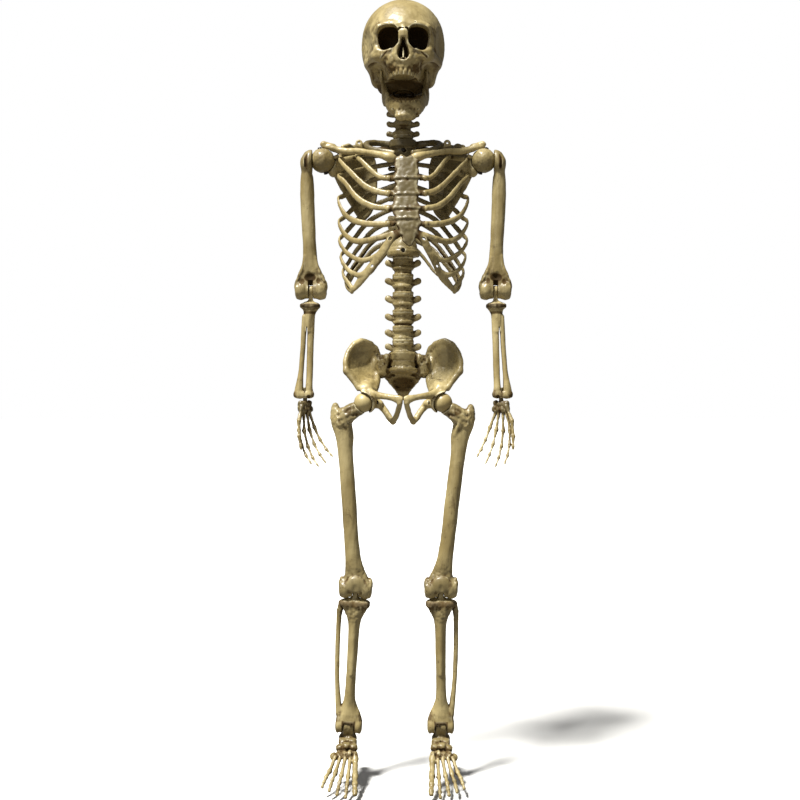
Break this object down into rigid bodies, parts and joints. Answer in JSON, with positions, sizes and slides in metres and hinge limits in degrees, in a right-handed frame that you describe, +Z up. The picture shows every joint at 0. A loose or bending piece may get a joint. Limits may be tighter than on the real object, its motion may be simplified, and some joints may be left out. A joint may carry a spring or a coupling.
{
  "type": "poseable hanging skeleton figure",
  "caption": "Hanging poseable plastic skeleton figure with jointed neck, jaw, arms, waist and legs, for seasonal display.",
  "frame": {"origin": "midway between the two hanging holes in the collar bones", "axes": "+Z up towards the skull, -Y the way the figure faces, +X towards the figure's left arm"},
  "size_m": [0.4186, 0.2191, 1.4806],
  "materials": {
    "aged_bone": "moulded bone-coloured plastic with a dark brown wash in its hollows",
    "plain_bone": "smooth bone-coloured plastic",
    "steel": "black screws and pins"
  },
  "bodies": {
    "torso": {"ribcage_front": "aged_bone", "ribcage_back": "aged_bone", "waist_screw": "steel", "neck_screw": "steel", "shoulder_blade_left": "aged_bone", "shoulder_blade_right": "aged_bone"},
    "neck": {"neck_spine": "aged_bone"},
    "skull": {"skull_face": "aged_bone", "skull_back": "aged_bone", "neck_socket": "aged_bone", "jaw_pins": "steel"},
    "jaw": {"jaw": "aged_bone"},
    "pelvis": {"lumbar_spine": "aged_bone", "sacrum": "aged_bone", "hip_bone_left": "aged_bone", "hip_bone_right": "aged_bone", "hip_axle_left": "steel", "hip_axle_right": "steel"},
    "shoulder_left": {"shoulder_ball_left": "aged_bone", "shoulder_bolt_left": "steel", "shoulder_axle_left": "steel"},
    "upper_arm_left": {"humerus_left": "aged_bone", "elbow_pin_left": "steel"},
    "forearm_left": {"forearm_left": "aged_bone"},
    "hand_left": {"hand_left": "aged_bone"},
    "hip_left": {"hip_ball_left": "plain_bone", "hip_pin_left": "steel"},
    "thigh_left": {"femur_left": "aged_bone", "knee_pin_left": "steel"},
    "shin_left": {"shin_left": "aged_bone", "ankle_pin_left": "steel"},
    "foot_left": {"foot_left": "aged_bone"},
    "shoulder_right": {"shoulder_ball_right": "aged_bone", "shoulder_bolt_right": "steel", "shoulder_axle_right": "steel"},
    "upper_arm_right": {"humerus_right": "aged_bone", "elbow_pin_right": "steel"},
    "forearm_right": {"forearm_right": "aged_bone"},
    "hand_right": {"hand_right": "aged_bone"},
    "hip_right": {"hip_ball_right": "plain_bone", "hip_pin_right": "steel"},
    "thigh_right": {"femur_right": "aged_bone", "knee_pin_right": "steel"},
    "shin_right": {"shin_right": "aged_bone", "ankle_pin_right": "steel"},
    "foot_right": {"foot_right": "aged_bone"}
  },
  "joints": [
    {"name": "neck_turn", "type": "hinge", "parent": "torso", "child": "neck", "pos_m": [0, 0.03, 0.012], "axis": [0, 0, 1], "range_deg": [-70, 70]},
    {"name": "head_nod", "type": "hinge", "parent": "neck", "child": "skull", "pos_m": [0, 0.03, 0.112], "axis": [1, 0, 0], "range_deg": [-25, 20]},
    {"name": "jaw_open", "type": "hinge", "parent": "skull", "child": "jaw", "pos_m": [0, 0, 0.15], "axis": [1, 0, 0], "range_deg": [-22, 4]},
    {"name": "waist_twist", "type": "hinge", "parent": "torso", "child": "pelvis", "pos_m": [0, 0.035, -0.212], "axis": [0, 0, 1], "range_deg": [-60, 60]},
    {"name": "shoulder_turn_left", "type": "hinge", "parent": "torso", "child": "shoulder_left", "pos_m": [0.154, 0.015, -0.03], "axis": [-0.2588, 0, -0.9659], "range_deg": [-30, 45]},
    {"name": "arm_swing_left", "type": "hinge", "parent": "shoulder_left", "child": "upper_arm_left", "pos_m": [0.154, 0.015, -0.03], "axis": [-1, 0, 0], "range_deg": [-60, 170]},
    {"name": "elbow_bend_left", "type": "hinge", "parent": "upper_arm_left", "child": "forearm_left", "pos_m": [0.177, 0.015, -0.279], "axis": [1, 0, 0], "range_deg": [-120, 0]},
    {"name": "wrist_turn_left", "type": "hinge", "parent": "forearm_left", "child": "hand_left", "pos_m": [0.187, 0.005, -0.481], "axis": [0, 0, -1], "range_deg": [-90, 90]},
    {"name": "hip_swing_left", "type": "hinge", "parent": "pelvis", "child": "hip_left", "pos_m": [0.075, -0.005, -0.494], "axis": [-1, 0, 0], "range_deg": [-25, 100]},
    {"name": "hip_spread_left", "type": "hinge", "parent": "hip_left", "child": "thigh_left", "pos_m": [0.075, -0.005, -0.494], "axis": [0, -1, 0], "range_deg": [-3, 15]},
    {"name": "knee_bend_left", "type": "hinge", "parent": "thigh_left", "child": "shin_left", "pos_m": [0.072, -0.005, -0.848], "axis": [1, 0, 0], "range_deg": [0, 105]},
    {"name": "ankle_bend_left", "type": "hinge", "parent": "shin_left", "child": "foot_left", "pos_m": [0.072, 0.005, -1.111], "axis": [-1, 0, 0], "range_deg": [-20, 35]},
    {"name": "shoulder_turn_right", "type": "hinge", "parent": "torso", "child": "shoulder_right", "pos_m": [-0.154, 0.015, -0.03], "axis": [-0.2588, 0, 0.9659], "range_deg": [-30, 45]},
    {"name": "arm_swing_right", "type": "hinge", "parent": "shoulder_right", "child": "upper_arm_right", "pos_m": [-0.154, 0.015, -0.03], "axis": [-1, 0, 0], "range_deg": [-60, 170]},
    {"name": "elbow_bend_right", "type": "hinge", "parent": "upper_arm_right", "child": "forearm_right", "pos_m": [-0.177, 0.015, -0.279], "axis": [1, 0, 0], "range_deg": [-120, 0]},
    {"name": "wrist_turn_right", "type": "hinge", "parent": "forearm_right", "child": "hand_right", "pos_m": [-0.187, 0.005, -0.481], "axis": [0, 0, 1], "range_deg": [-90, 90]},
    {"name": "hip_swing_right", "type": "hinge", "parent": "pelvis", "child": "hip_right", "pos_m": [-0.075, -0.005, -0.494], "axis": [-1, 0, 0], "range_deg": [-25, 100]},
    {"name": "hip_spread_right", "type": "hinge", "parent": "hip_right", "child": "thigh_right", "pos_m": [-0.075, -0.005, -0.494], "axis": [0, 1, 0], "range_deg": [-5, 12]},
    {"name": "knee_bend_right", "type": "hinge", "parent": "thigh_right", "child": "shin_right", "pos_m": [-0.09053, -0.005, -0.84767], "axis": [0.9986, 0, -0.0523], "range_deg": [0, 105]},
    {"name": "ankle_bend_right", "type": "hinge", "parent": "shin_right", "child": "foot_right", "pos_m": [-0.10429, 0.005, -1.11031], "axis": [-0.9986, 0, 0.0523], "range_deg": [-20, 35]}
  ]
}
